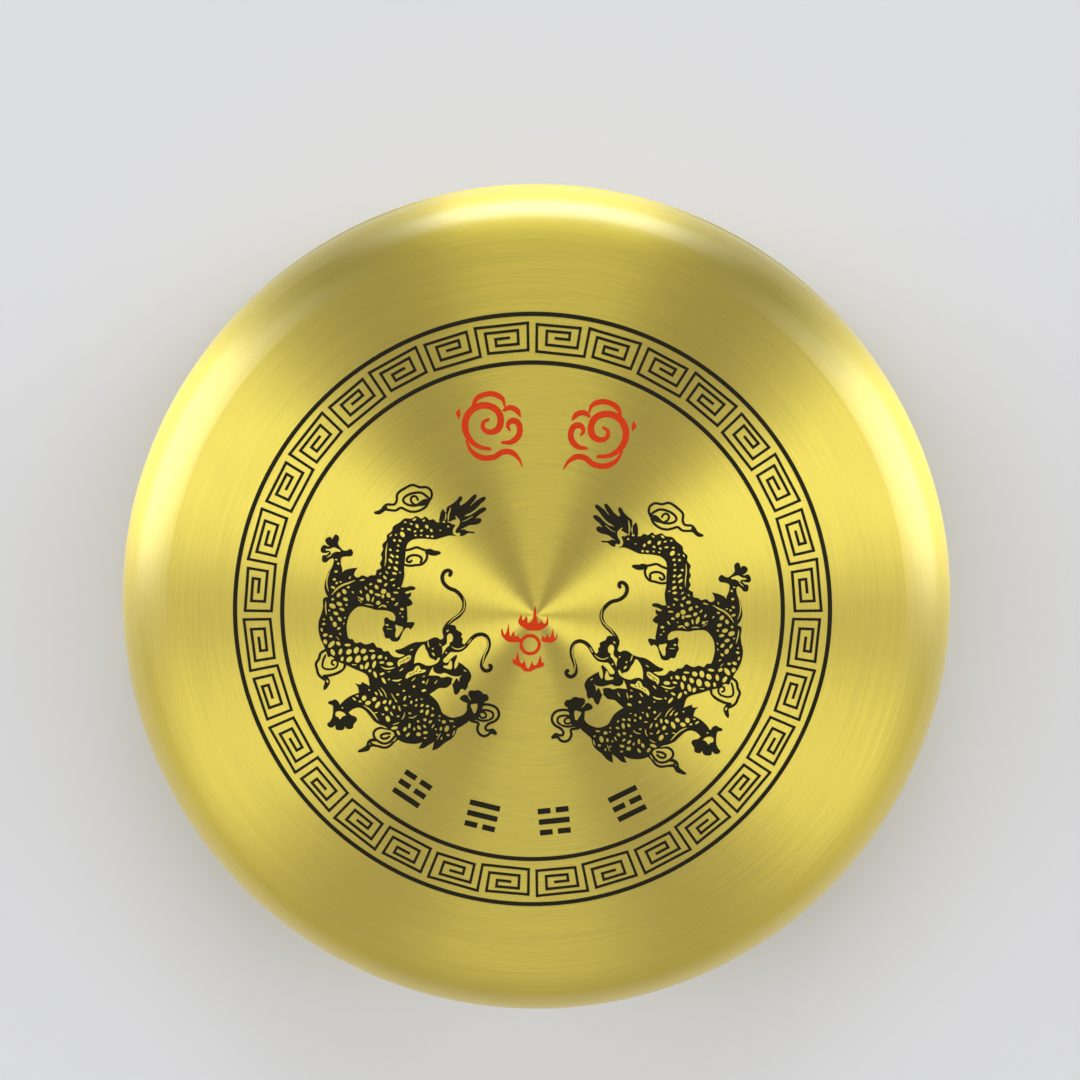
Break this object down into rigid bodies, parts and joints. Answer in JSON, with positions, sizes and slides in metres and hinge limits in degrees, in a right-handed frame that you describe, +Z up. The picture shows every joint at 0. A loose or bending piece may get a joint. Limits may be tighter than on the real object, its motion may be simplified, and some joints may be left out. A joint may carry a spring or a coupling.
{
  "type": "feng shui compass",
  "caption": "Round brass compass case with a printed lift-off lid over a turning dial, a glazed needle pool, cross threads and two levels.",
  "frame": {"origin": "bottom centre of the case, on the surface that it stands on", "axes": "+Z up through the lid's face, +Y towards the top of the picture on the lid and the north mark of the dial, +X to the right"},
  "size_m": [0.104, 0.104, 0.0205],
  "materials": {
    "lid_brass": "circular brushed, lacquered",
    "case_brass": "circular brushed, lacquered",
    "face_brass": "fine turned face",
    "fitting_brass": "turned",
    "screw_brass": "polished",
    "spring_metal": "rolled",
    "pin_steel": "polished",
    "needle_steel": "blued",
    "black_bakelite": "moulded",
    "white_plastic": "turned",
    "white_enamel": "enamel",
    "black_rubber": "moulded",
    "clear_glass": "clear",
    "level_spirit": "tinted spirit",
    "jewel": "polished",
    "red_thread": "twisted thread"
  },
  "bodies": {
    "case": {"case_base": "case_brass", "outer_ring": "face_brass", "ring_screws": "screw_brass", "thread_posts": "screw_brass", "thread_north_south": "red_thread", "thread_east_west": "red_thread", "tube_level_trough": "fitting_brass", "tube_level_vial": "clear_glass", "tube_level_plugs": "white_plastic", "tube_level_fluid": "level_spirit", "round_level_cup": "fitting_brass", "round_level_fluid": "level_spirit", "round_level_window": "clear_glass", "thrust_washer": "white_plastic", "spring_washer": "spring_metal"},
    "dial": {"dial_hub": "fitting_brass", "hub_screw": "screw_brass", "dial_core": "black_bakelite", "dial_plate": "face_brass", "pool_cup": "fitting_brass", "pool_screws": "screw_brass", "pool_disc": "white_enamel", "pool_gasket": "black_rubber", "pool_glass": "clear_glass", "pool_bezel": "face_brass", "pivot_pin": "pin_steel"},
    "needle_body": {"needle": "needle_steel", "needle_cap": "fitting_brass", "needle_jewel": "jewel"},
    "lid": {"lid_shell": "lid_brass"}
  },
  "joints": [
    {"name": "lid_lift", "type": "slide", "parent": "case", "child": "lid", "axis": [0, 0, 1], "range_m": [0, 0.06]},
    {"name": "dial_turn", "type": "hinge", "parent": "case", "child": "dial", "pos_m": [0, 0, 0.0028], "axis": [0, 0, 1], "continuous": true},
    {"name": "needle_swing", "type": "hinge", "parent": "dial", "child": "needle_body", "pos_m": [0, 0, 0.0102], "axis": [0, 0, 1], "continuous": true}
  ]
}
